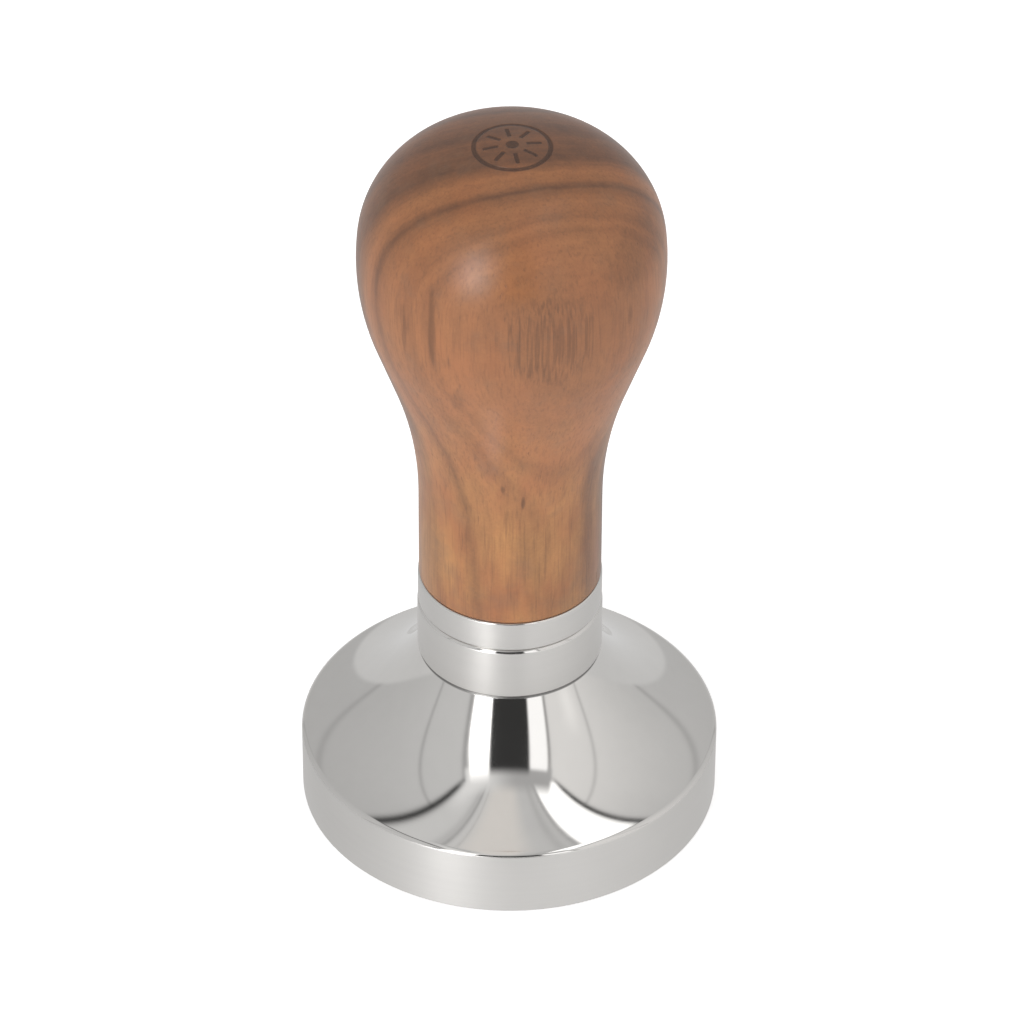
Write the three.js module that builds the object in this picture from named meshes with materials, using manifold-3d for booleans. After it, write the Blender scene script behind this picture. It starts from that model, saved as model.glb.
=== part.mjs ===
// Espresso tamper: a flat steel piston with a coved bell, a loose steel collar, and a turned
// wooden handle that screws onto the piston with a threaded stud.
//
// Millimetres, +Z up. The origin is the centre of the flat tamping face, which rests on z = 0.
// Every piece is turned about the Z axis.

import * as THREE from 'three';
import { mergeVertices } from 'three/addons/utils/BufferGeometryUtils.js';
import Module from 'manifold-3d';

// ---- Driving dimensions ---------------------------------------------------------------------

const AXIAL_GAP = 0.1; // between faces that rest on each other
const RADIAL_GAP = 0.25; // between a bore and what sits in it

// Piston: rim, coved bell and the spigot that the collar sits on.
const PISTON_RADIUS = 29;
const RIM_HEIGHT = 10.3;
const EDGE_CHAMFER = 0.4;
const COVE_RADIUS = 31; // of the hollow arc from the rim up to the collar
const SEAT_HEIGHT = 24.8; // shoulder under the collar
const SPIGOT_RADIUS = 9;
const SPIGOT_TOP = 31.7;

// O-ring that grips the collar, in a groove halfway up the spigot.
const O_RING_SECTION = 0.6;
const O_RING_HEIGHT = 28.3;
const O_RING_RADIUS = 8.5;

// Collar and ferrule, the two steel rings.
const COLLAR_RADIUS = 12.75;
const COLLAR_TOP = 32.7;
const FERRULE_RADIUS = 12.65;
const FERRULE_TOP = 37.5;
const FERRULE_WEB = 1.5; // thickness of the disc that closes the ferrule's lower half
const RING_CHAMFER = 0.35;

// Thread of the stud: M10 x 1.5.
const THREAD_RADIUS = 5;
const STUD_BOTTOM = 19.7;
const STUD_LENGTH = 30;
const STUD_CHAMFER = 0.8;
const SOCKET_FLATS = 5; // hex key size
const SOCKET_DEPTH = 5;
const TAPPED_HOLE_BOTTOM = 17.3;

// Flanged insert that is screwed into the wood.
const FLANGE_RADIUS = 8;
const FLANGE_THICKNESS = 1.3;
const INSERT_RADIUS = 7; // over its coarse outer ridges
const INSERT_ROOT_RADIUS = 6.4;
const INSERT_TOP = 51.3;
const INSERT_RIDGES = 4;

// Washer between the spigot and the insert's flange.
const WASHER_THICKNESS = 0.7;
const WASHER_RADIUS = 8.4;

// Wooden handle: a domed crown, a round shoulder, a belly, a straight taper and a waisted neck.
const HANDLE_TOP = 107.8;
const CROWN_RADIUS = 29;
const CROWN_EDGE_ANGLE = 68;
const SHOULDER_RADIUS = 15.3;
const SHOULDER_EDGE_ANGLE = 5.8;
const BELLY_RADIUS = 35.4;
const TAPER_ANGLE = 19.6;
const WAIST_RADIUS = 57.2;
const NECK_RADIUS = 12.5;
const TENON_RADIUS = 9;

const SIDES = 64; // facets around the large pieces
const SMALL_SIDES = 48; // facets around the pieces on the thread

// ---- Heights worked out from them -----------------------------------------------------------

const collarBottom = SEAT_HEIGHT + AXIAL_GAP;
const ferruleBottom = COLLAR_TOP + AXIAL_GAP;
const flangeBottom = ferruleBottom;
const flangeTop = flangeBottom + FLANGE_THICKNESS;
const webBottom = flangeTop + AXIAL_GAP;
const webTop = webBottom + FERRULE_WEB;
const tenonBottom = webTop + AXIAL_GAP;
const handleBottom = FERRULE_TOP + AXIAL_GAP;
const washerBottom = SPIGOT_TOP + AXIAL_GAP;

// ---- Materials ------------------------------------------------------------------------------

function finish(color, roughness, metalness) {
  return new THREE.MeshStandardMaterial({ color, roughness, metalness });
}

const mirrorSteel = finish('#c9c7c4', 0.08, 1);
const satinSteel = finish('#bfbcb7', 0.32, 1);
const zincSteel = finish('#8f9194', 0.35, 1);
const brass = finish('#b8933f', 0.3, 1);
const walnut = finish('#9a6642', 0.45, 0);
const nylon = finish('#e6e1d6', 0.5, 0);
const rubber = finish('#1c1c1d', 0.7, 0);

// ---- Drawing and turning --------------------------------------------------------------------

// An outline in (radius, height). line() goes straight to a point. arc() leaves the current point
// on a circle: its angles are the surface's normal, in degrees above level, and a negative radius
// makes the arc hollow instead of round.
class Outline {
  constructor(r, z) {
    this.points = [new THREE.Vector2(r, z)];
  }

  line(r, z) {
    this.points.push(new THREE.Vector2(r, z));
    return this;
  }

  arc(radius, fromAngle, toAngle, steps) {
    const start = this.points.at(-1);
    const from = THREE.MathUtils.degToRad(fromAngle);
    const to = THREE.MathUtils.degToRad(toAngle);
    const centreR = start.x - radius * Math.cos(from);
    const centreZ = start.y - radius * Math.sin(from);
    for (let i = 1; i <= steps; i += 1) {
      const angle = THREE.MathUtils.lerp(from, to, i / steps);
      this.line(centreR + radius * Math.cos(angle), centreZ + radius * Math.sin(angle));
    }
    return this;
  }

  // Returns to the first point, for a ring that doesn't reach the axis.
  close() {
    const first = this.points[0];
    return this.line(first.x, first.y);
  }
}

function turn(outline, sides) {
  const geometry = new THREE.LatheGeometry(outline.points, sides);
  geometry.rotateX(Math.PI / 2);
  return geometry;
}

// A flat ring of rectangular section with its four edges chamfered.
function ringOutline(inner, outer, bottom, top, innerChamfer, outerChamfer) {
  return new Outline(inner, bottom + innerChamfer)
    .line(inner + innerChamfer, bottom)
    .line(outer - outerChamfer, bottom)
    .line(outer, bottom + outerChamfer)
    .line(outer, top - outerChamfer)
    .line(outer - outerChamfer, top)
    .line(inner + innerChamfer, top)
    .line(inner, top - innerChamfer)
    .close();
}

// ---- Cutting --------------------------------------------------------------------------------

const manifold = await Module();
manifold.setup();

function toSolid(geometry) {
  const bare = geometry.clone();
  bare.deleteAttribute('normal');
  bare.deleteAttribute('uv');
  const merged = mergeVertices(bare);
  const mesh = new manifold.Mesh({
    numProp: 3,
    vertProperties: new Float32Array(merged.attributes.position.array),
    triVerts: new Uint32Array(merged.index.array),
  });
  return new manifold.Manifold(mesh);
}

function toGeometry(solid) {
  const mesh = solid.getMesh();
  const geometry = new THREE.BufferGeometry();
  geometry.setAttribute('position', new THREE.BufferAttribute(mesh.vertProperties, 3));
  geometry.setIndex(new THREE.BufferAttribute(mesh.triVerts, 1));
  geometry.computeVertexNormals();
  return geometry;
}

// ---- Piston ---------------------------------------------------------------------------------

function pistonGeometry() {
  const rimEdge = PISTON_RADIUS - EDGE_CHAMFER;
  const neckRadius = COLLAR_RADIUS - EDGE_CHAMFER;
  const coveRun = rimEdge - neckRadius;
  const coveRise = SEAT_HEIGHT - RIM_HEIGHT;
  const middle = THREE.MathUtils.radToDeg(Math.atan2(coveRun, coveRise));
  const sweep = THREE.MathUtils.radToDeg(Math.asin(Math.hypot(coveRun, coveRise) / 2 / COVE_RADIUS));
  const holeRadius = THREAD_RADIUS + RADIAL_GAP;
  const drillTip = holeRadius * Math.tan(THREE.MathUtils.degToRad(31));
  const grooveFloor = O_RING_RADIUS - O_RING_SECTION - AXIAL_GAP;
  const grooveHalf = O_RING_SECTION + RADIAL_GAP;

  const outline = new Outline(0, 0)
    .line(rimEdge, 0)
    .line(PISTON_RADIUS, EDGE_CHAMFER)
    .line(PISTON_RADIUS, RIM_HEIGHT - EDGE_CHAMFER)
    .line(rimEdge, RIM_HEIGHT)
    .arc(-COVE_RADIUS, middle + sweep, middle - sweep, 12)
    .line(SPIGOT_RADIUS, SEAT_HEIGHT)
    .line(SPIGOT_RADIUS, O_RING_HEIGHT - grooveHalf)
    .line(grooveFloor, O_RING_HEIGHT - grooveHalf)
    .line(grooveFloor, O_RING_HEIGHT + grooveHalf)
    .line(SPIGOT_RADIUS, O_RING_HEIGHT + grooveHalf)
    .line(SPIGOT_RADIUS, SPIGOT_TOP - EDGE_CHAMFER)
    .line(SPIGOT_RADIUS - EDGE_CHAMFER, SPIGOT_TOP)
    .line(holeRadius + EDGE_CHAMFER, SPIGOT_TOP)
    .line(holeRadius, SPIGOT_TOP - EDGE_CHAMFER)
    .line(holeRadius, TAPPED_HOLE_BOTTOM)
    .line(0, TAPPED_HOLE_BOTTOM - drillTip);
  return turn(outline, SIDES);
}

function oRingGeometry() {
  const outline = new Outline(O_RING_RADIUS + O_RING_SECTION, O_RING_HEIGHT)
    .arc(O_RING_SECTION, 0, 360, 8);
  return turn(outline, SMALL_SIDES);
}

function collarGeometry() {
  const bore = SPIGOT_RADIUS + RADIAL_GAP;
  const outline = ringOutline(bore, COLLAR_RADIUS, collarBottom, COLLAR_TOP, 0.3, RING_CHAMFER);
  return turn(outline, SIDES);
}

// ---- Thread ---------------------------------------------------------------------------------

function washerGeometry() {
  const bore = THREAD_RADIUS + RADIAL_GAP;
  const top = washerBottom + WASHER_THICKNESS;
  return turn(ringOutline(bore, WASHER_RADIUS, washerBottom, top, 0.1, 0.1), SMALL_SIDES);
}

function studGeometry() {
  const top = STUD_BOTTOM + STUD_LENGTH;
  const outline = new Outline(0, STUD_BOTTOM)
    .line(THREAD_RADIUS - STUD_CHAMFER, STUD_BOTTOM)
    .line(THREAD_RADIUS, STUD_BOTTOM + STUD_CHAMFER)
    .line(THREAD_RADIUS, top - STUD_CHAMFER)
    .line(THREAD_RADIUS - STUD_CHAMFER, top)
    .line(0, top);
  const socket = new THREE.CylinderGeometry(
    SOCKET_FLATS / Math.sqrt(3),
    SOCKET_FLATS / Math.sqrt(3),
    2 * SOCKET_DEPTH,
    6,
  );
  socket.rotateX(Math.PI / 2);
  socket.translate(0, 0, STUD_BOTTOM);
  return toGeometry(toSolid(turn(outline, SMALL_SIDES)).subtract(toSolid(socket)));
}

function insertGeometry() {
  const bore = THREAD_RADIUS + RADIAL_GAP;
  const ridgeBottom = tenonBottom + 1;
  const ridgePitch = (INSERT_TOP - ridgeBottom) / INSERT_RIDGES;
  const outline = new Outline(bore, flangeBottom)
    .line(FLANGE_RADIUS, flangeBottom)
    .line(FLANGE_RADIUS, flangeTop)
    .line(INSERT_ROOT_RADIUS, flangeTop);
  for (let i = 0; i < INSERT_RIDGES; i += 1) {
    const foot = ridgeBottom + i * ridgePitch;
    outline.line(INSERT_ROOT_RADIUS, foot);
    outline.line(INSERT_RADIUS, foot + 0.3 * ridgePitch);
    outline.line(INSERT_ROOT_RADIUS, foot + ridgePitch);
  }
  outline.line(bore, INSERT_TOP);
  outline.close();
  return turn(outline, SMALL_SIDES);
}

// ---- Handle ---------------------------------------------------------------------------------

// A cup with a flat disc below: the insert's flange pulls the disc up against the wooden tenon.
function ferruleGeometry() {
  const flangeRecess = FLANGE_RADIUS + RADIAL_GAP;
  const hole = INSERT_RADIUS + RADIAL_GAP;
  const tenonSocket = TENON_RADIUS + RADIAL_GAP;
  const outline = new Outline(flangeRecess, ferruleBottom)
    .line(FERRULE_RADIUS - RING_CHAMFER, ferruleBottom)
    .line(FERRULE_RADIUS, ferruleBottom + RING_CHAMFER)
    .line(FERRULE_RADIUS, FERRULE_TOP - RING_CHAMFER)
    .line(FERRULE_RADIUS - RING_CHAMFER, FERRULE_TOP)
    .line(tenonSocket, FERRULE_TOP)
    .line(tenonSocket, webTop)
    .line(hole, webTop)
    .line(hole, webBottom)
    .line(flangeRecess, webBottom)
    .close();
  return turn(outline, SIDES);
}

// Walks down from the top of the crown. The taper is as long as it takes to reach the neck.
function handleGeometry() {
  const outside = new Outline(0, HANDLE_TOP)
    .arc(CROWN_RADIUS, 90, CROWN_EDGE_ANGLE, 4)
    .arc(SHOULDER_RADIUS, CROWN_EDGE_ANGLE, SHOULDER_EDGE_ANGLE, 9)
    .arc(BELLY_RADIUS, SHOULDER_EDGE_ANGLE, -TAPER_ANGLE, 6);
  const slope = THREE.MathUtils.degToRad(TAPER_ANGLE);
  const taperTop = outside.points.at(-1);
  const taperFootRadius = NECK_RADIUS + WAIST_RADIUS * (1 - Math.cos(slope));
  const taperFoot = taperTop.y - (taperTop.x - taperFootRadius) / Math.tan(slope);
  outside.line(taperFootRadius, taperFoot)
    .arc(-WAIST_RADIUS, -TAPER_ANGLE, 0, 6)
    .line(NECK_RADIUS, handleBottom);

  const bore = INSERT_RADIUS + RADIAL_GAP;
  outside.line(TENON_RADIUS, handleBottom)
    .line(TENON_RADIUS, tenonBottom)
    .line(bore, tenonBottom)
    .line(bore, INSERT_TOP + 1)
    .line(0, INSERT_TOP + 1);
  outside.points.reverse();
  return turn(outside, SIDES);
}

// ---- Assembly -------------------------------------------------------------------------------

function piece(name, geometry, material) {
  const mesh = new THREE.Mesh(geometry, material);
  mesh.name = name;
  return mesh;
}

const foot = new THREE.Group();
foot.add(
  piece('base_piston', pistonGeometry(), mirrorSteel),
  piece('collar_o_ring', oRingGeometry(), rubber),
  piece('lower_collar', collarGeometry(), satinSteel),
);

const handle = new THREE.Group();
handle.add(
  piece('upper_ring', ferruleGeometry(), satinSteel),
  piece('threaded_insert', insertGeometry(), brass),
  piece('threaded_stud', studGeometry(), zincSteel),
  piece('wood_handle', handleGeometry(), walnut),
);

const tamper = new THREE.Group();
tamper.add(foot, piece('friction_washer', washerGeometry(), nylon), handle);

export default tamper;
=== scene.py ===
"""Espresso tamper: polished and satin steel piston, two steel rings and a turned walnut handle.

Metres, +Z up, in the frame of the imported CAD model. Every visible piece is turned here as a fine
mesh in place of its CAD solid, and rides on the CAD body of that solid.
"""
import math

import bmesh
import bpy
from mathutils import Matrix, Vector


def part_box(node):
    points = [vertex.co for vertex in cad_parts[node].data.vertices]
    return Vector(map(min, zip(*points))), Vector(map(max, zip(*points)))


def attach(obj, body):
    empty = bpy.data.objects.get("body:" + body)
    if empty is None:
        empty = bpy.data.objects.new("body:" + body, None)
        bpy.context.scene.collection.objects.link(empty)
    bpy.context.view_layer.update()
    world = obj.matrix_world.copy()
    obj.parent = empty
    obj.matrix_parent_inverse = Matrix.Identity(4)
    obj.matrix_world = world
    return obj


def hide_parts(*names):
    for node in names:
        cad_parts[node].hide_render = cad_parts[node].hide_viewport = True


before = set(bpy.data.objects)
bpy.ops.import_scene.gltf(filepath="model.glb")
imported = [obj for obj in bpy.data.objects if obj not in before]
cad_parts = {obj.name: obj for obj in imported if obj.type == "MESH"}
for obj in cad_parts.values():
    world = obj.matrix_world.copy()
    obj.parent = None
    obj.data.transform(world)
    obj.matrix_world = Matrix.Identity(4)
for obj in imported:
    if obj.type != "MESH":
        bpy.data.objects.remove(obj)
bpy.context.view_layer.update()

MM = 0.001

# ---- Heights and radii, read from the CAD boxes ----------------------------------------------


def z_range(node):
    """Lowest and highest Z of a CAD node."""
    low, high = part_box(node)
    return low.z, high.z


def radius_of(node):
    """Largest radius of a CAD node, which is turned about the Z axis."""
    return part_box(node)[1].x


PISTON_R = radius_of("base_piston")
SPIGOT_TOP = z_range("base_piston")[1]
COLLAR_R = radius_of("lower_collar")
COLLAR_TOP = z_range("lower_collar")[1]
FERRULE_R = radius_of("upper_ring")
FERRULE_LOW, FERRULE_TOP = z_range("upper_ring")
INSERT_LOW, INSERT_TOP = z_range("threaded_insert")
FLANGE_R = radius_of("threaded_insert")
STUD_LOW, STUD_TOP = z_range("threaded_stud")
THREAD_R = radius_of("threaded_stud")
WASHER_LOW, WASHER_TOP = z_range("friction_washer")
WASHER_R = radius_of("friction_washer")
TENON_LOW, CROWN_TOP = z_range("wood_handle")
O_RING_LOW, O_RING_TOP = z_range("collar_o_ring")
O_RING_R = radius_of("collar_o_ring")

# Sizes that the boxes don't give, the same as in the CAD model.
RIM_HEIGHT = 10.3 * MM
COVE_R = 31.0 * MM
SEAT_HEIGHT = 24.8 * MM
SPIGOT_R = 9.0 * MM
EDGE_CHAMFER = 0.4 * MM
RING_CHAMFER = 0.35 * MM
BORE_GAP = 0.25 * MM
HAIRLINE = 0.03 * MM  # between faces that touch
HOLE_BOTTOM = 17.3 * MM
TENON_R = 9.0 * MM
INSERT_R = 7.0 * MM
PITCH = 1.5 * MM
THREAD_DEPTH = 0.85 * MM
THREAD_PLAY = 0.06 * MM
CREST_WEAR = 0.02 * MM  # how far the stud's thread stays inside its nominal size
THREAD_FLANK = 1.3  # how steeply a groove deepens
STUD_LAND = 0.15  # width of the land between the stud's grooves
HOLE_LAND = 0.30  # the hole's is wider, so that the flanks stay clear of each other
COARSE_PITCH = 3.5 * MM  # of the insert's outer thread
COARSE_DEPTH = 0.6 * MM
MOUTH_CHAMFER = 0.7 * MM  # of the tapped hole
DRILL_POINT = math.radians(31.0)  # slope of the hole's conical bottom
NECK_R = 12.5 * MM

# The handle's outline is a chain of arcs. The edges and the taper are slopes in degrees.
CROWN_R = 29.0 * MM
CROWN_EDGE = 68.0
SHOULDER_R = 15.3 * MM
SHOULDER_EDGE = 5.8
BELLY_ARC_R = 35.4 * MM
TAPER = 19.6
WAIST_R = 57.2 * MM

# ---- Turned meshes ---------------------------------------------------------------------------


class Outline:
    """Half of a turned section as points (r, z). Corners are rounded when the piece is turned."""

    def __init__(self, r, z):
        self.points = [(r, z)]
        self.fillets = [0.0]
        self.slots = []

    def line(self, r, z, fillet=0.0, slot=0):
        """A straight run to (r, z), whose corner there is rounded by fillet."""
        self.points.append((r, z))
        self.fillets.append(fillet)
        self.slots.append(slot)
        return self

    def arc(self, radius, start_angle, end_angle, steps, slot=0):
        """An arc from the current point. Angles are those of the surface's normal, in degrees
        above level, and a negative radius makes the arc hollow."""
        start, end = math.radians(start_angle), math.radians(end_angle)
        r, z = self.points[-1]
        centre_r = r - radius * math.cos(start)
        centre_z = z - radius * math.sin(start)
        for i in range(1, steps + 1):
            a = start + (end - start) * i / steps
            self.line(centre_r + radius * math.cos(a), centre_z + radius * math.sin(a), slot=slot)
        return self

    def rounded(self, steps=4):
        """The points and slots with each fillet put in as a short arc."""
        points, slots = [self.points[0]], []
        for i in range(1, len(self.points)):
            corner, fillet = Vector(self.points[i]), self.fillets[i]
            slot = self.slots[i - 1]
            if fillet and i + 1 < len(self.points):
                before = (Vector(self.points[i - 1]) - corner).normalized()
                after = (Vector(self.points[i + 1]) - corner).normalized()
                for k in range(steps + 1):
                    t = k / steps
                    bend = before * (1 - t) ** 2 + after * t**2
                    points.append(tuple(corner + bend * fillet))
                    slots.append(slot)
            else:
                points.append(tuple(corner))
                slots.append(slot)
        return points, slots


def turned(name, outline, segments=256, sharp=28.0, ripple=None):
    """A closed solid of revolution. ripple(r, z, turn) moves a point outwards, for threads."""
    points, slots = outline.rounded()
    closed = (Vector(points[0]) - Vector(points[-1])).length < 1e-9
    if closed:
        points = points[:-1]
    bm = bmesh.new()
    rings = []
    for r, z in points:
        if r < 1e-9:
            rings.append([bm.verts.new((0, 0, z))])
            continue
        ring = []
        for k in range(segments):
            turn = k / segments
            a = 2 * math.pi * turn
            out = r + (ripple(r, z, turn) if ripple else 0.0)
            ring.append(bm.verts.new((out * math.cos(a), out * math.sin(a), z)))
        rings.append(ring)
    pairs = list(zip(range(len(rings)), range(1, len(rings))))
    if closed:
        pairs.append((len(rings) - 1, 0))
    for low, high in pairs:
        a, b, slot = rings[low], rings[high], slots[low]
        for k in range(segments):
            n = (k + 1) % segments
            if len(a) == 1:
                face = bm.faces.new((a[0], b[n], b[k]))
            elif len(b) == 1:
                face = bm.faces.new((a[k], a[n], b[0]))
            else:
                face = bm.faces.new((a[k], a[n], b[n], b[k]))
            face.material_index = slot
            face.smooth = True
    limit = math.radians(sharp)
    for edge in bm.edges:
        if len(edge.link_faces) == 2 and edge.calc_face_angle() > limit:
            edge.smooth = False
    mesh = bpy.data.meshes.new(name)
    bm.to_mesh(mesh)
    bm.free()
    piece = bpy.data.objects.new(name, mesh)
    bpy.context.scene.collection.objects.link(piece)
    return piece


def groove_depth(z, turn, land):
    """Depth of the M10 thread's groove, from 0 to 1, at a height and a part of a turn."""
    phase = (z / PITCH - turn) % 1.0
    return min(1.0, max(0.0, abs(phase - 0.5) * 2 * THREAD_FLANK - land))


def thread_ripple(start, end, depth, run_out=1.0 * MM):
    """Helical V thread of PITCH between two heights, fading out over run_out at its ends."""

    def ripple(r, z, turn):
        inside = min(z - start, end - z)
        if inside <= 0:
            return 0.0
        groove = groove_depth(z, turn, STUD_LAND)
        return -depth * groove * min(1.0, inside / run_out)

    return ripple


def add_steps(outline, r, z_end, step, slot=0):
    """Straight wall at radius r up or down to z_end in fine steps, for a thread to be cut in."""
    z = outline.points[-1][1]
    count = max(1, round(abs(z_end - z) / step))
    for i in range(1, count + 1):
        outline.line(r, z + (z_end - z) * i / count, slot=slot)
    return outline


# ---- Shader building -------------------------------------------------------------------------


class Graph:
    """Adds nodes to a tree and links what they are given: a socket, a number or a tuple."""

    def __init__(self, tree):
        self.tree = tree
        self.tree.nodes.clear()

    def node(self, kind, **settings):
        made = self.tree.nodes.new(kind)
        for key, value in settings.items():
            setattr(made, key, value)
        return made

    def feed(self, socket, value):
        if isinstance(value, bpy.types.NodeSocket):
            self.tree.links.new(value, socket)
        elif value is not None:
            socket.default_value = value

    def math(self, operation, *values):
        made = self.node("ShaderNodeMath", operation=operation)
        for socket, value in zip(made.inputs, values):
            self.feed(socket, value)
        return made.outputs[0]

    def add(self, *values):
        total = values[0]
        for value in values[1:]:
            total = self.math("ADD", total, value)
        return total

    def times(self, *values):
        total = values[0]
        for value in values[1:]:
            total = self.math("MULTIPLY", total, value)
        return total

    def vector(self, operation, *values):
        made = self.node("ShaderNodeVectorMath", operation=operation)
        for socket, value in zip(made.inputs, values):
            self.feed(socket, value)
        return made.outputs["Value" if operation in ("DOT_PRODUCT", "LENGTH") else "Vector"]

    def combine(self, x, y, z):
        made = self.node("ShaderNodeCombineXYZ")
        for socket, value in zip(made.inputs, (x, y, z)):
            self.feed(socket, value)
        return made.outputs[0]

    def split(self, vector):
        made = self.node("ShaderNodeSeparateXYZ")
        self.feed(made.inputs[0], vector)
        return made.outputs

    def ease(self, value, low, high, to_low=0.0, to_high=1.0):
        """Smooth step from to_low at low to to_high at high."""
        made = self.node("ShaderNodeMapRange", interpolation_type="SMOOTHSTEP")
        for socket, number in zip(made.inputs, (value, low, high, to_low, to_high)):
            self.feed(socket, number)
        return made.outputs[0]

    def band(self, value, low, high, soft):
        """1 between low and high, with edges soft wide on either side."""
        rise = self.ease(value, low - soft, low + soft)
        fall = self.ease(value, high - soft, high + soft, 1.0, 0.0)
        return self.times(rise, fall)

    def noise(self, vector, scale, detail=2.0, rough=0.5):
        """Noise centred on 0, about -0.5 to 0.5."""
        made = self.node("ShaderNodeTexNoise")
        self.feed(made.inputs["Vector"], vector)
        made.inputs["Scale"].default_value = scale
        made.inputs["Detail"].default_value = detail
        made.inputs["Roughness"].default_value = rough
        return self.math("SUBTRACT", made.outputs[0], 0.5)

    def mix(self, factor, a, b):
        """Colour a where factor is 0 and colour b where it is 1."""
        made = self.node("ShaderNodeMix", data_type="RGBA")
        colours = [s for s in made.inputs if s.type == "RGBA"]
        self.feed(made.inputs[0], factor)
        for socket, value in zip(colours, (a, b)):
            self.feed(socket, (*value, 1.0) if isinstance(value, tuple) else value)
        return [s for s in made.outputs if s.type == "RGBA"][0]

    def ramp(self, value, stops):
        """Grey ramp through (position, brightness) stops."""
        made = self.node("ShaderNodeValToRGB")
        elements = made.color_ramp.elements
        while len(elements) < len(stops):
            elements.new(1.0)
        for element, (position, level) in zip(elements, stops):
            element.position = position
            element.color = (level, level, level, 1.0)
        self.feed(made.inputs[0], value)
        return made.outputs[0]

    def bump(self, height, distance, under=None):
        """A normal for height, distance high in metres, on top of another bump."""
        made = self.node("ShaderNodeBump")
        made.inputs["Strength"].default_value = 1.0
        made.inputs["Distance"].default_value = distance
        self.feed(made.inputs["Height"], height)
        self.feed(made.inputs["Normal"], under)
        return made.outputs[0]


def material(name):
    """A new material with its graph, its Principled shader and object coordinates in mm."""
    made = bpy.data.materials.new(name)
    made.use_nodes = True
    graph = Graph(made.node_tree)
    shader = graph.node("ShaderNodeBsdfPrincipled")
    output = graph.node("ShaderNodeOutputMaterial")
    made.node_tree.links.new(shader.outputs[0], output.inputs[0])
    place = graph.node("ShaderNodeTexCoord").outputs["Object"]
    in_mm = graph.vector("SCALE", place)
    in_mm.node.inputs["Scale"].default_value = 1 / MM
    return made, graph, shader, in_mm


def around_axis(graph, place):
    """(radius, angle in turns, height) of a point in mm."""
    x, y, z = graph.split(place)
    radius = graph.vector("LENGTH", graph.combine(x, y, 0.0))
    turn = graph.times(graph.math("ARCTAN2", y, x), 1 / (2 * math.pi))
    return radius, turn, z


# ---- Steel -----------------------------------------------------------------------------------


def turned_steel(name, colour, roughness, line_depth, anisotropy=0.70):
    """Satin stainless steel with the fine lines that a lathe leaves round the axis."""
    made, g, shader, place = material(name)
    radius, turn, height = around_axis(g, place)
    across = g.add(radius, height)
    lines = g.noise(g.combine(g.times(across, 9.0), g.times(turn, 0.6), 0.0), 1.0, 3.0, 0.7)
    broad = g.noise(g.combine(g.times(across, 1.3), g.times(turn, 2.0), 4.0), 1.0, 2.0, 0.5)
    clouds = g.noise(place, 0.12, 2.0, 0.5)
    tone = g.add(0.5, g.times(lines, 0.35), g.times(broad, 0.35), g.times(clouds, 0.5))
    light = tuple(min(1.0, c * 1.06) for c in colour)
    dark = tuple(c * 0.94 for c in colour)
    g.feed(shader.inputs["Base Color"], g.mix(tone, dark, light))
    rough = g.add(roughness, g.times(lines, 0.08), g.times(broad, 0.04))
    g.feed(shader.inputs["Roughness"], rough)
    shader.inputs["Metallic"].default_value = 1.0
    shader.inputs["Anisotropic"].default_value = anisotropy
    shader.inputs["Anisotropic Rotation"].default_value = 0.25
    tangent = g.node("ShaderNodeTangent", direction_type="RADIAL", axis="Z")
    g.feed(shader.inputs["Tangent"], tangent.outputs[0])
    g.feed(shader.inputs["Normal"], g.bump(lines, line_depth))
    return made


def polished_steel(name, colour):
    """Mirror-polished stainless steel: faint buffing lines round the axis and a soft haze. Close
    under
    the collar it has painted shade: a dark, rougher band that stands for the shadow line in the
    seam."""
    made, g, shader, place = material(name)
    radius, turn, height = around_axis(g, place)
    across = g.add(radius, height)
    buffing = g.noise(g.combine(g.times(across, 5.0), g.times(turn, 3.0), 0.0), 1.0, 3.0, 0.6)
    haze = g.noise(place, 0.35, 3.0, 0.55)
    light = tuple(min(1.0, c * 1.02) for c in colour)
    dark = tuple(c * 0.97 for c in colour)
    seat = SEAT_HEIGHT / MM
    # Painted shade: a dark, rougher band just under the collar, for the shadow line in the seam.
    corner = g.times(g.ease(height, seat - 0.50, seat - 0.32), g.ease(height, seat + 0.2, seat))
    steel = g.mix(g.add(0.5, haze), dark, light)
    g.feed(shader.inputs["Base Color"], g.mix(g.times(corner, 0.8), steel, (0.09, 0.088, 0.085)))
    rough = g.add(0.06, g.times(buffing, 0.03), g.times(haze, 0.03), g.times(corner, 0.3))
    g.feed(shader.inputs["Roughness"], rough)
    shader.inputs["Metallic"].default_value = 1.0
    g.feed(shader.inputs["Normal"], g.bump(buffing, 0.0006 * MM))
    return made


# ---- Wood ------------------------------------------------------------------------------------

# Growth layers: (distance in mm along the direction the layers are stacked in, towards the front
# of the handle; how light the wood is there).
LAYERS = (
    (-24.0, 0.45),
    (-19.0, 0.20),
    (-17.5, 0.60),
    (-14.5, 0.22),
    (-13.5, 0.65),
    (-9.5, 0.30),
    (-8.5, 0.55),
    (-5.5, 0.45),
    (-2.6, 0.28),
    (-1.2, 0.48),
    (1.0, 0.38),
    (3.2, 0.34),
    (4.6, 0.64),
    (5.8, 0.98),
    (7.3, 0.90),
    (8.3, 0.50),
    (8.9, 0.80),
    (10.9, 0.97),
    (12.0, 0.82),
    (12.8, 0.74),
    (13.4, 0.97),
    (14.4, 0.76),
    (15.4, 0.98),
    (17.5, 0.88),
    (19.8, 0.74),
    (24.0, 0.80),
)
FIRST_LAYER, LAST_LAYER = LAYERS[0][0], LAYERS[-1][0]

# Where the turned surface grazes one layer, its pores are cut lengthwise: centre and half size.
EYE_X, EYE_Z = 4.8, 89.7
EYE_WIDE, EYE_TALL = 6.6, 6.6

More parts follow.
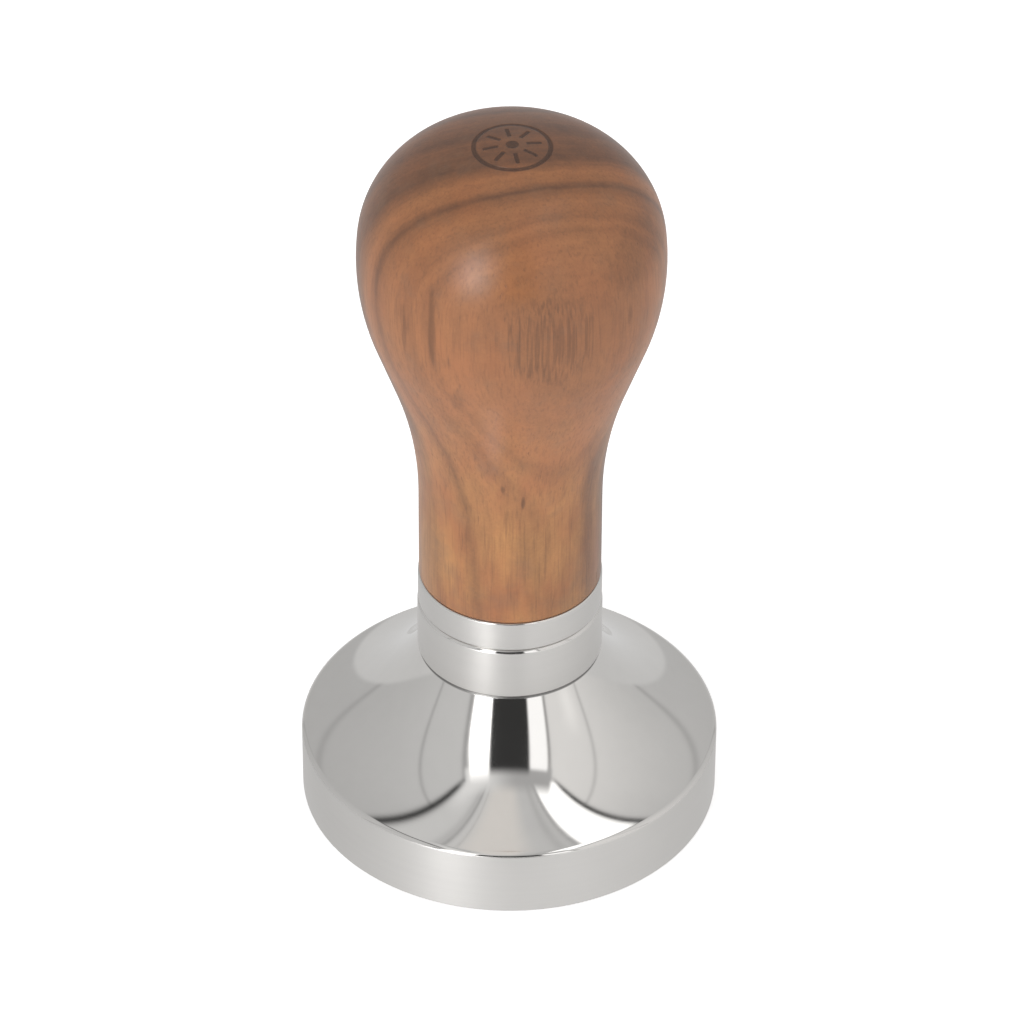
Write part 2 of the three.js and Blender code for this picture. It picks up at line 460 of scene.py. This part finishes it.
# Dark flecks on the front of the handle: x, z, half width and half height in mm, and depth.
FLECKS = (
    (-10.3, 90.5, 0.55, 6.8, 0.42),
    (-13.9, 88.5, 0.32, 4.5, 0.32),
    (-7.0, 79.0, 1.0, 2.2, 0.16),
    (15.4, 90.0, 0.35, 2.0, 0.32),
    (17.0, 97.5, 5.0, 4.5, 0.26),
    (-1.0, 61.1, 0.35, 0.7, 0.40),
    (1.7, 58.5, 0.28, 1.3, 0.55),
)

LAYER_CENTRE = 75.3  # height in mm where the layers stand upright
LAYER_LEAN = math.radians(19.0)  # how far they face to the right of the front
CROWN_DARK = (82.0, 103.0)  # height in mm over which the crown darkens upwards, partly darker wood and partly painted shade
NECK_HEIGHTS = (70.0, 58.0)  # height in mm over which the darker right stripe and lighter left side of the neck set in
NECK_DEPTHS = (4.0, -1.0)  # y in mm over which they set in, from the back to the front


def layer_height(g, place):
    """The growth layer that a point lies in: nearly flat layers that bow a little."""
    x, y, z = g.split(place)
    up = g.math("SUBTRACT", z, LAYER_CENTRE)
    flat = g.add(g.times(y, -math.cos(LAYER_LEAN)), g.times(x, math.sin(LAYER_LEAN)))
    bow = g.add(g.times(x, x, 0.0106), g.times(up, up, -0.00062), g.times(x, up, -0.0044))
    twist = g.add(g.times(up, up, up, 1.5e-6), g.times(x, y, -0.0015))
    sway = g.noise(place, 0.07, 2.0, 0.5)
    wave = g.noise(g.vector("MULTIPLY", place, (1.0, 1.0, 0.35)), 0.35, 2.0, 0.5)
    return g.add(flat, bow, twist, g.times(sway, 0.9), g.times(wave, 0.6))


def fleck_depth(g, place):
    """How dark the flecks make a point, from 0 to 1."""
    x, y, z = g.split(place)
    ragged = g.noise(g.vector("MULTIPLY", place, (1.0, 1.0, 0.12)), 1.4, 2.0, 0.6)
    deepest = 0.0
    for at_x, at_z, half_width, half_height, depth in FLECKS:
        aside = g.times(g.math("SUBTRACT", x, at_x), 1 / half_width)
        above = g.times(g.math("SUBTRACT", z, at_z), 1 / half_height)
        reach = g.add(g.times(aside, aside), g.times(above, above), g.times(ragged, 1.4))
        deepest = g.math("MAXIMUM", deepest, g.times(g.ease(reach, 1.3, 0.1), depth))
    return g.times(deepest, g.ease(y, 0.0, -5.0))


MARK_SPOKES = 8
MARK_Y = -0.6  # centre of the mark, in mm


def crown_mark(g, place):
    """A plain burnt rosette on the crown: a ring, eight spokes and a dot."""
    x, y, z = g.split(place)
    y = g.add(y, -MARK_Y)
    radius = g.vector("LENGTH", g.combine(x, y, 0.0))
    spoke_angle = 2 * math.pi / MARK_SPOKES
    turn = g.times(g.math("ARCTAN2", y, x), 1 / spoke_angle)
    # The fraction needs a positive number, and the quarter turns the spokes off the axes.
    part = g.math("FRACT", g.add(turn, MARK_SPOKES + 0.25))
    off = g.math("ABSOLUTE", g.math("SUBTRACT", part, 0.5))
    aside = g.times(off, radius, spoke_angle)
    ring = g.band(radius, 4.75, 5.3, 0.12)
    spokes = g.times(g.ease(aside, 0.34, 0.14), g.band(radius, 1.9, 3.9, 0.15))
    dot = g.ease(radius, 0.95, 0.7)
    mark = g.math("MAXIMUM", g.math("MAXIMUM", ring, spokes), dot)
    return g.times(mark, g.ease(z, 104.0, 105.0))


def pore_depth(g, place, mottle):
    """Open pores, from 0 to 1: long streaks in the eye and short specks everywhere."""
    x, y, z = g.split(place)
    from_eye = g.combine(
        g.times(g.math("SUBTRACT", x, EYE_X), 1 / EYE_WIDE),
        g.times(g.math("SUBTRACT", z, EYE_Z), 1 / EYE_TALL),
        0.0,
    )
    from_eye = g.add(g.vector("LENGTH", from_eye), g.times(mottle, 0.5))
    eye = g.times(g.ease(from_eye, 1.15, 0.8), g.ease(y, 0.0, -5.0))
    streak_space = g.vector("MULTIPLY", place, (1.0, 1.0, 0.02))
    streaks = g.ease(g.noise(streak_space, 3.0, 1.0, 0.4), -0.08, 0.16)
    speck_space = g.vector("MULTIPLY", place, (1.0, 1.0, 0.10))
    specks = g.ease(g.noise(speck_space, 2.4, 1.0, 0.4), 0.225, 0.30)
    return g.add(g.times(streaks, eye), g.times(specks, 0.8))


def broad_shading(g, place, layer, mottle):
    """What is added to the lightness of whole regions: the crown is darker, most of all along one
    line, partly as darker wood and partly as painted shade on the top of the handle. So is a
    stripe up the right side of the neck, whose left side is lighter."""
    x, y, z = g.split(place)
    neck = g.times(g.ease(z, *NECK_HEIGHTS), g.ease(y, *NECK_DEPTHS))
    # Painted shade on the top of the handle, together with darker wood there: the crown darkens
    # upwards.
    crown = g.ease(z, *CROWN_DARK)
    stripe = g.times(neck, g.ease(g.add(x, mottle), 9.0, 10.7))
    left = g.times(neck, g.ease(x, -5.5, -9.0), g.ease(layer, 7.0, 4.6))
    soft_line = g.times(crown, g.band(layer, 7.5, 9.7, 1.2))
    shift = g.add(g.times(crown, -0.12), g.times(stripe, -0.42), g.times(left, 0.36))
    return g.add(shift, g.times(soft_line, -0.16))


def walnut():
    """Oiled walnut with grain along Z: growth layers, fibres, pores, flecks and a burnt mark."""
    made, g, shader, place = material("walnut_oiled")
    x, y, z = g.split(place)
    layer = layer_height(g, place)
    span = LAST_LAYER - FIRST_LAYER
    stops = [((at - FIRST_LAYER) / span, level) for at, level in LAYERS]
    lightness = g.ramp(g.times(g.math("SUBTRACT", layer, FIRST_LAYER), 1 / span), stops)

    fibre_space = g.vector("MULTIPLY", place, (1.0, 1.0, 0.045))
    fibres = g.noise(fibre_space, 2.8, 4.0, 0.65)
    thin_space = g.combine(g.times(layer, 1.5), g.times(z, 0.03), g.times(x, 0.06))
    fine_layers = g.noise(thin_space, 1.0, 3.0, 0.6)
    mottle = g.noise(g.vector("MULTIPLY", place, (1.0, 1.0, 0.5)), 0.2, 3.0, 0.55)
    speckle = g.noise(place, 2.6, 3.0, 0.65)
    patches = g.noise(g.vector("MULTIPLY", place, (1.0, 1.0, 0.6)), 0.6, 4.0, 0.7)
    dusk = g.noise(g.vector("ADD", place, (40.0, 0.0, 0.0)), 0.16, 4.0, 0.65)
    pores = pore_depth(g, place, mottle)
    shift = broad_shading(g, place, layer, mottle)

    gold = g.ease(g.add(z, g.times(mottle, 20.0)), 44.0, 78.0, 1.0, 0.0)
    pale = g.mix(gold, (0.385, 0.158, 0.062), (0.465, 0.218, 0.078))
    pale = g.mix(g.ease(mottle, -0.2, 0.25), pale, (0.365, 0.142, 0.056))
    tone = g.add(lightness, shift, g.times(fine_layers, 0.34), g.times(mottle, 0.35))
    tone = g.add(tone, g.times(speckle, 0.32), g.times(patches, 0.42))
    base = g.mix(tone, (0.094, 0.044, 0.026), pale)
    base = g.mix(g.ease(dusk, 0.0, 0.22, 0.0, 0.30), base, (0.185, 0.112, 0.070))
    base = g.mix(g.ease(fibres, -0.05, 0.26, 0.0, 0.42), base, (0.125, 0.060, 0.032))
    base = g.mix(g.times(pores, 0.34), base, (0.075, 0.042, 0.027))
    base = g.mix(fleck_depth(g, place), base, (0.060, 0.026, 0.014))
    mark = crown_mark(g, place)
    base = g.mix(g.times(mark, g.add(0.72, speckle)), base, (0.045, 0.022, 0.014))
    g.feed(shader.inputs["Base Color"], base)

    rough = g.add(0.34, g.times(fibres, 0.12), g.times(pores, 0.15), g.times(mark, 0.2))
    g.feed(shader.inputs["Roughness"], rough)
    shader.inputs["Specular IOR Level"].default_value = 0.5
    grain = g.bump(fibres, 0.012 * MM)
    grain = g.bump(g.times(pores, -1.0), 0.015 * MM, under=grain)
    g.feed(shader.inputs["Normal"], g.bump(g.times(mark, -1.0), 0.15 * MM, under=grain))
    return made


# ---- Small parts -----------------------------------------------------------------------------


def plain_metal(name, colour, roughness):
    """Machined metal with slight tool marks round the axis."""
    made, g, shader, place = material(name)
    radius, turn, height = around_axis(g, place)
    mark_space = g.combine(g.times(radius, 6.0), g.times(turn, 2.0), g.times(height, 6.0))
    marks = g.noise(mark_space, 1.0, 3.0)
    stain = g.noise(place, 0.4, 3.0, 0.6)
    light = tuple(min(1.0, c * 1.1) for c in colour)
    dark = tuple(c * 0.85 for c in colour)
    g.feed(shader.inputs["Base Color"], g.mix(g.add(0.5, marks, stain), dark, light))
    g.feed(shader.inputs["Roughness"], g.add(roughness, g.times(marks, 0.1)))
    shader.inputs["Metallic"].default_value = 1.0
    g.feed(shader.inputs["Normal"], g.bump(marks, 0.004 * MM))
    return made


def moulded(name, colour, roughness):
    """Nylon or rubber with a fine moulded surface."""
    made, g, shader, place = material(name)
    grain = g.noise(place, 4.0, 3.0, 0.6)
    clouds = g.noise(place, 0.3, 2.0, 0.5)
    light = tuple(min(1.0, c * 1.08) for c in colour)
    dark = tuple(c * 0.9 for c in colour)
    g.feed(shader.inputs["Base Color"], g.mix(g.add(0.5, clouds, g.times(grain, 0.4)), dark, light))
    g.feed(shader.inputs["Roughness"], g.add(roughness, g.times(grain, 0.1)))
    g.feed(shader.inputs["Normal"], g.bump(grain, 0.01 * MM))
    return made


STEEL = (0.72, 0.705, 0.685)
satin_rim = turned_steel("steel_satin_rim", STEEL, 0.42, 0.0012 * MM)
satin_ring = turned_steel("steel_satin_ring", STEEL, 0.40, 0.001 * MM)
mirror = polished_steel("steel_polished", STEEL)
tapped = plain_metal("steel_tapped", (0.55, 0.54, 0.53), 0.35)
zinc = plain_metal("zinc_plated", (0.56, 0.57, 0.58), 0.3)
brass = plain_metal("brass_turned", (0.72, 0.52, 0.22), 0.28)
nylon = moulded("nylon_natural", (0.82, 0.79, 0.71), 0.45)
rubber = moulded("rubber_black", (0.018, 0.018, 0.019), 0.6)
wood = walnut()

# ---- Pieces ----------------------------------------------------------------------------------


def finish_piece(piece, node, body, slot, *materials):
    """Materials, CAD body and the CAD node that the piece stands for. The slot is not used."""
    for each in materials:
        piece.data.materials.append(each)
    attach(piece, body)
    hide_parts(node)
    return piece


def make_piston():
    """Piston with its satin rim, mirror-polished bell, spigot and tapped hole."""
    satin, bright, inside = 0, 1, 2
    thread_step = PITCH / 10
    rim_edge = PISTON_R - EDGE_CHAMFER
    cove_run = rim_edge - (COLLAR_R - EDGE_CHAMFER)
    cove_rise = SEAT_HEIGHT - RIM_HEIGHT
    middle = math.degrees(math.atan2(cove_run, cove_rise))
    sweep = math.degrees(math.asin(math.hypot(cove_run, cove_rise) / 2 / COVE_R))
    hole_r = THREAD_R + THREAD_PLAY
    groove_floor = O_RING_R - (O_RING_TOP - O_RING_LOW) - 0.05 * MM
    o = Outline(0.0, 0.0)
    o.line(rim_edge, 0.0, 0.12 * MM, satin)
    o.line(PISTON_R, EDGE_CHAMFER, 0.12 * MM, satin)
    o.line(PISTON_R, RIM_HEIGHT - EDGE_CHAMFER, 0.12 * MM, satin)
    o.line(rim_edge, RIM_HEIGHT, 0.0, bright)
    o.arc(-COVE_R, middle + sweep, middle - sweep, 72, bright)
    o.line(SPIGOT_R + 0.3 * MM, SEAT_HEIGHT, 0.0, satin)
    o.line(SPIGOT_R, SEAT_HEIGHT + 0.3 * MM, 0.0, satin)
    o.line(SPIGOT_R, O_RING_LOW - 0.1 * MM, 0.05 * MM, satin)
    o.line(groove_floor, O_RING_LOW - 0.1 * MM, 0.0, satin)
    o.line(groove_floor, O_RING_TOP + 0.1 * MM, 0.0, satin)
    o.line(SPIGOT_R, O_RING_TOP + 0.1 * MM, 0.05 * MM, satin)
    o.line(SPIGOT_R, SPIGOT_TOP - EDGE_CHAMFER, 0.1 * MM, satin)
    o.line(SPIGOT_R - EDGE_CHAMFER, SPIGOT_TOP, 0.1 * MM, satin)
    o.line(hole_r + MOUTH_CHAMFER, SPIGOT_TOP, 0.1 * MM, satin)
    o.line(hole_r, SPIGOT_TOP - MOUTH_CHAMFER, 0.0, inside)
    add_steps(o, hole_r, HOLE_BOTTOM, thread_step, inside)
    o.line(0.0, HOLE_BOTTOM - hole_r * math.tan(DRILL_POINT), 0.0, inside)

    def ripple(r, z, turn):
        if abs(r - hole_r) > 1e-7 or z < HOLE_BOTTOM + 0.1 * MM:
            return 0.0
        crest = groove_depth(z, turn, HOLE_LAND)
        fade = min(1.0, (z - HOLE_BOTTOM) / PITCH, (SPIGOT_TOP - 0.6 * MM - z) / (0.5 * MM))
        return -THREAD_DEPTH * crest * max(0.0, fade)

    piece = turned("piston_steel", o, 256, ripple=ripple)
    return finish_piece(piece, "base_piston", "piston", "polished_steel", satin_rim, mirror, tapped)


def make_o_ring():
    """Rubber ring in the groove of the spigot."""
    section = (O_RING_TOP - O_RING_LOW) / 2
    o = Outline(O_RING_R, (O_RING_TOP + O_RING_LOW) / 2)
    o.arc(section, 0.0, 360.0, 20)
    piece = turned("o_ring_rubber", o, 160)
    return finish_piece(piece, "collar_o_ring", "piston", "rubber", rubber)


def ring_outline(inner, outer, low, high, chamfer, inner_chamfer, top_edge=0):
    """Section of a plain ring. top_edge is the material slot of its upper outer chamfer."""
    o = Outline(inner, low + inner_chamfer)
    o.line(inner + inner_chamfer, low, 0.08 * MM)
    o.line(outer - 0.2 * MM, low, 0.06 * MM)
    o.line(outer, low + 0.2 * MM, 0.08 * MM)
    o.line(outer, high - chamfer, 0.08 * MM)
    o.line(outer - chamfer, high, 0.08 * MM, top_edge)
    o.line(inner + inner_chamfer, high, 0.08 * MM)
    o.line(inner, high - inner_chamfer, 0.08 * MM)
    o.line(inner, low + inner_chamfer)
    return o


def make_collar():
    """Loose ring above the bell, with a polished upper chamfer."""
    bore = SPIGOT_R + 0.05 * MM
    low = SEAT_HEIGHT + HAIRLINE
    top = (COLLAR_TOP + FERRULE_LOW - HAIRLINE) / 2
    o = ring_outline(bore, COLLAR_R, low, top, RING_CHAMFER, 0.3 * MM, top_edge=1)
    piece = turned("collar_steel", o)
    return finish_piece(piece, "lower_collar", "piston", "satin_steel", satin_ring, mirror)


def make_washer():
    """Nylon washer between the spigot and the flange of the insert."""
    o = ring_outline(
        THREAD_R + BORE_GAP, WASHER_R, WASHER_LOW, WASHER_TOP, 0.08 * MM, 0.08 * MM
    )
    piece = turned("washer_nylon", o, 160)
    return finish_piece(piece, "friction_washer", "washer", "nylon", nylon)


def make_ferrule():
    """Ring at the foot of the handle, hollow round the flange and the tenon."""
    low = (COLLAR_TOP + FERRULE_LOW + HAIRLINE) / 2
    flange_top = FERRULE_LOW + 1.4 * MM
    web_top = flange_top + 1.5 * MM
    recess = FLANGE_R + BORE_GAP
    hole = INSERT_R + BORE_GAP
    socket = TENON_R + 0.05 * MM
    o = Outline(recess, low)
    o.line(FERRULE_R - RING_CHAMFER, low, 0.08 * MM)
    o.line(FERRULE_R, low + RING_CHAMFER, 0.08 * MM)
    o.line(FERRULE_R, FERRULE_TOP - 0.15 * MM, 0.06 * MM)
    o.line(FERRULE_R - 0.15 * MM, FERRULE_TOP, 0.06 * MM, 1)
    o.line(socket, FERRULE_TOP)
    o.line(socket, web_top)
    o.line(hole, web_top)
    o.line(hole, flange_top)
    o.line(recess, flange_top)
    o.line(recess, low)
    piece = turned("ferrule_steel", o)
    return finish_piece(piece, "upper_ring", "handle", "satin_steel", satin_ring, mirror)


def make_insert():
    """Flanged brass insert with a coarse thread outside and a plain bore for the stud."""
    bore = THREAD_R + THREAD_PLAY
    root = INSERT_R - COARSE_DEPTH
    flange_top = INSERT_LOW + 1.3 * MM
    foot = flange_top + 1.6 * MM
    o = Outline(bore + 0.5 * MM, INSERT_LOW)
    o.line(FLANGE_R, INSERT_LOW, 0.15 * MM)
    o.line(FLANGE_R, flange_top, 0.15 * MM)
    o.line(root, flange_top)
    add_steps(o, root, foot, 0.4 * MM)
    add_steps(o, root, INSERT_TOP, 0.35 * MM)
    o.line(bore + 0.5 * MM, INSERT_TOP)
    o.line(bore, INSERT_TOP - 0.5 * MM)
    add_steps(o, bore, INSERT_LOW + 0.5 * MM, PITCH / 8)
    o.line(bore + 0.5 * MM, INSERT_LOW)

    def ripple(r, z, turn):
        if abs(r - root) < 1e-7 and z > foot:
            phase = (z / COARSE_PITCH - turn) % 1.0
            ridge = max(0.0, 1 - abs(phase - 0.5) * 4)
            return COARSE_DEPTH * ridge * min(1.0, (INSERT_TOP - z) / MM)
        return 0.0

    piece = turned("insert_brass", o, 128, ripple=ripple)
    return finish_piece(piece, "threaded_insert", "handle", "brass", brass)


def make_stud():
    """Threaded stud with a hexagon socket in its lower end."""
    chamfer = 0.95 * MM
    socket_r = 2.5 * MM
    socket_floor = STUD_LOW + 5.0 * MM
    o = Outline(0.0, socket_floor + 0.6 * MM)
    o.line(socket_r, socket_floor)
    add_steps(o, socket_r, STUD_LOW, 1.0 * MM)
    o.line(THREAD_R - chamfer, STUD_LOW, 0.1 * MM)
    end_r = THREAD_R - chamfer
    crest_r = THREAD_R - CREST_WEAR
    steps = 8
    for k in range(1, steps + 1):
        o.line(end_r + (crest_r - end_r) * k / steps, STUD_LOW + chamfer * k / steps)
    add_steps(o, crest_r, STUD_TOP - chamfer, PITCH / 12)
    o.line(end_r, STUD_TOP)
    o.line(0.0, STUD_TOP)
    threads = thread_ripple(STUD_LOW - 1.0 * MM, STUD_TOP + 0.1 * MM, THREAD_DEPTH)

    def ripple(r, z, turn):
        if r > end_r + 1e-7:  # the thread runs out through the chamfer
            return min(0.0, crest_r + threads(r, z, turn) - r)
        if abs(r - socket_r) < 1e-7:
            corner = (turn * 6) % 1.0 - 0.5
            return socket_r / math.cos(corner * math.pi / 3) - socket_r
        return 0.0

    piece = turned("stud_zinc", o, 144, ripple=ripple)
    return finish_piece(piece, "threaded_stud", "handle", "zinc_steel", zinc)


def make_handle():
    """Wooden handle with its crown, shoulder, belly, taper, neck and tenon."""
    o = Outline(0.0, INSERT_TOP + 1.0 * MM)
    bore = INSERT_R + BORE_GAP
    o.line(bore, INSERT_TOP + 1.0 * MM)
    o.line(bore, TENON_LOW)
    o.line(TENON_R, TENON_LOW)
    o.line(TENON_R, FERRULE_TOP + HAIRLINE)
    outside = Outline(0.0, CROWN_TOP)
    outside.arc(CROWN_R, 90.0, CROWN_EDGE, 24)
    outside.arc(SHOULDER_R, CROWN_EDGE, SHOULDER_EDGE, 40)
    outside.arc(BELLY_ARC_R, SHOULDER_EDGE, -TAPER, 30)
    slope = math.radians(TAPER)
    top_r, top_z = outside.points[-1]
    foot_r = NECK_R + WAIST_R * (1 - math.cos(slope))
    outside.line(foot_r, top_z - (top_r - foot_r) / math.tan(slope))
    outside.arc(-WAIST_R, -TAPER, 0.0, 30)
    round_over = 0.35 * MM
    outside.line(NECK_R, FERRULE_TOP + HAIRLINE + round_over)
    outside.arc(round_over, 0.0, -90.0, 6)
    for r, z in reversed(outside.points):
        o.line(r, z)
    return finish_piece(turned("handle_walnut", o, 288), "wood_handle", "handle", "walnut", wood)


make_piston()
make_o_ring()
make_collar()
make_washer()
make_ferrule()
make_insert()
make_stud()
make_handle()

# ---- Floor -----------------------------------------------------------------------------------

FLOOR_R = 4.0
FLOOR_DROP = 0.05 * MM  # keeps the floor just clear of the tamping face


def make_floor():
    """Plain white floor, wide enough to fill the view."""
    bm = bmesh.new()
    bmesh.ops.create_circle(bm, cap_ends=True, segments=96, radius=FLOOR_R)
    mesh = bpy.data.meshes.new("floor")
    bm.to_mesh(mesh)
    bm.free()
    floor = bpy.data.objects.new("floor", mesh)
    bpy.context.scene.collection.objects.link(floor)
    floor.location.z = -FLOOR_DROP
    floor.visible_glossy = False
    made = bpy.data.materials.new("floor_white")
    made.use_nodes = True
    shader = made.node_tree.nodes["Principled BSDF"]
    shader.inputs["Base Color"].default_value = (0.86, 0.86, 0.86, 1.0)
    shader.inputs["Roughness"].default_value = 0.9
    shader.inputs["Specular IOR Level"].default_value = 0.0
    shader.inputs["Emission Color"].default_value = (1.0, 1.0, 1.0, 1.0)
    shader.inputs["Emission Strength"].default_value = 0.5
    floor.data.materials.append(made)


make_floor()

# ---- Studio light ----------------------------------------------------------------------------


def make_studio():
    """A white light box around the object: grey cloth walls, two light strips beside a dark
    opening at the front, and a brighter ceiling on the right."""
    world = bpy.data.worlds.new("studio")
    bpy.context.scene.world = world
    world.use_nodes = True
    g = Graph(world.node_tree)
    direction = g.node("ShaderNodeTexCoord").outputs["Generated"]
    x, y, z = g.split(direction)
    azimuth = g.times(g.math("ARCTAN2", x, g.times(y, -1.0)), 180 / math.pi)
    elevation = g.times(g.math("ARCSINE", z), 180 / math.pi)

    def grey(level, warmth=0.0):
        return (level * (1 + warmth), level, level * (1 - warmth))

    # Side and back walls, brighter on the right and nearer the front.
    side = g.ease(azimuth, -40.0, 40.0)
    nearness = g.ease(g.math("ABSOLUTE", azimuth), 165.0, 45.0)
    left_wall = g.mix(nearness, grey(0.55), grey(0.70))
    right_wall = g.mix(nearness, grey(0.58), grey(0.92, 0.01))
    light = g.mix(side, left_wall, right_wall)
    patch = g.times(g.band(azimuth, 58.0, 70.0, 7.0), g.band(elevation, 8.0, 28.0, 8.0))
    light = g.mix(g.times(patch, 0.6), light, grey(1.15, 0.01))

    def fold(colour, value, at, half_width, depth, line=grey(0.16)):
        """Darkens a narrow line where value is about at."""
        across = g.times(g.math("SUBTRACT", value, at), 1 / half_width)
        shade = g.math("EXPONENT", g.times(across, across, -1.0))
        return g.mix(g.times(shade, depth), colour, line)

    for at, half_width, depth in (
        (-138.5, 1.6, 0.22),
        (-80.0, 1.6, 0.30),
        (-42.5, 2.6, 0.45),
        (38.7, 1.7, 0.62),
        (78.0, 1.6, 0.28),
        (137.0, 1.6, 0.26),
    ):
        light = fold(light, azimuth, at, half_width, depth)

    # The roof. Its edges and folds run from front to back, so each one is a fixed slope x / z.
    slope = g.math("DIVIDE", x, g.math("MAXIMUM", z, 0.02))
    roof = g.mix(g.ease(slope, -0.2, 0.2), grey(0.74), grey(0.66))
    haze = g.times(g.ease(slope, -0.25, -0.4, 0.0, 1.0), g.ease(azimuth, -75.0, -35.0))
    roof = g.mix(g.times(haze, 0.8), roof, grey(1.05))
    warm = g.band(slope, -0.16, 0.06, 0.05)
    roof = g.mix(g.times(warm, 0.85), roof, grey(0.82, 0.04))
    panel_end = g.ease(g.math("ABSOLUTE", azimuth), 128.0, 122.0)
    panel = g.times(g.band(slope, 0.249, 0.466, 0.006), panel_end)
    roof = g.mix(panel, roof, grey(1.7))
    for at, half_width, depth in (
        (-0.245, 0.022, 0.22),
        (-0.222, 0.009, 0.50),
        (-0.178, 0.005, 0.28),
        (0.178, 0.02, 0.18),
        (0.235, 0.012, 0.40),
    ):
        roof = fold(roof, slope, at, half_width, depth)
    under_roof = g.times(g.band(slope, -0.466, 0.466, 0.004), g.ease(elevation, 56.0, 58.0))
    light = g.mix(under_roof, light, roof)
    edge_depth = g.times(g.ease(elevation, 53.0, 60.0), 0.98)
    for at, half_width in ((-0.468, 0.036), (0.476, 0.023)):
        light = fold(light, slope, at, half_width, edge_depth, grey(0.04))

    # The front wall: two strips of light beside a dark opening, under a grey flap.
    front = g.band(azimuth, -42.0, 41.0, 2.0)
    below_flap = g.ease(elevation, 58.0, 66.0, 1.0, 0.0)
    flap = g.mix(g.ease(azimuth, -30.0, 10.0), grey(0.95), grey(0.5))
    light = g.mix(g.times(front, below_flap, g.ease(elevation, 49.0, 52.0)), light, flap)
    left_strip = g.times(g.band(azimuth, -38.0, -19.5, 1.2), g.ease(elevation, 60.0, 50.0))
    right_strip = g.times(g.band(azimuth, 20.5, 36.8, 1.2), g.ease(elevation, 53.5, 50.5))
    light = g.mix(left_strip, light, grey(1.9))
    light = g.mix(right_strip, light, grey(1.35))
    lamp = g.times(g.band(azimuth, -36.0, -22.0, 5.0), g.band(elevation, 8.0, 42.0, 9.0))
    light = g.mix(lamp, light, grey(9.5))
    opening = g.times(g.band(azimuth, -18.6, 19.6, 1.6), g.ease(elevation, 56.5, 50.5))
    light = g.mix(opening, light, grey(0.045))

    # White table below, brighter in front of the object and most of all under the lamp.
    table = g.mix(g.ease(g.math("ABSOLUTE", azimuth), 125.0, 15.0), grey(0.70), grey(0.94))
    table = g.mix(g.times(g.band(azimuth, -42.0, -26.0, 12.0), 0.8), table, grey(1.12))
    light = g.mix(g.ease(elevation, 2.0, -1.0), light, table)

    # What the camera sees behind the floor is plain and pale.
    seen = g.node("ShaderNodeLightPath").outputs["Is Camera Ray"]
    light = g.mix(seen, light, grey(1.0))
    background = g.node("ShaderNodeBackground")
    g.feed(background.inputs["Color"], light)
    output = g.node("ShaderNodeOutputWorld")
    world.node_tree.links.new(background.outputs[0], output.inputs[0])


make_studio()

# ---- Camera ----------------------------------------------------------------------------------

CAMERA_DISTANCE = 0.8
CAMERA_ELEVATION = math.radians(37.7)
CAMERA_ROLL = math.radians(0.3)
AIM_HEIGHT = 47.04 * MM
LENS_MM = 206.6


def make_camera():
    """Camera above the front, looking down at the middle of the object."""
    data = bpy.data.cameras.new("camera")
    data.lens = LENS_MM
    data.sensor_width = 36.0
    data.shift_x = 0.0016
    camera = bpy.data.objects.new("camera", data)
    bpy.context.scene.collection.objects.link(camera)
    back = Vector((0.0, -math.cos(CAMERA_ELEVATION), math.sin(CAMERA_ELEVATION)))
    camera.location = Vector((0.0, 0.0, AIM_HEIGHT)) + back * CAMERA_DISTANCE
    level = Matrix.Rotation(math.pi / 2 - CAMERA_ELEVATION, 4, "X")
    roll = Matrix.Rotation(CAMERA_ROLL, 4, "Z")
    camera.rotation_euler = (level @ roll).to_euler()
    bpy.context.scene.camera = camera


make_camera()
bpy.context.scene.view_settings.view_transform = "Standard"
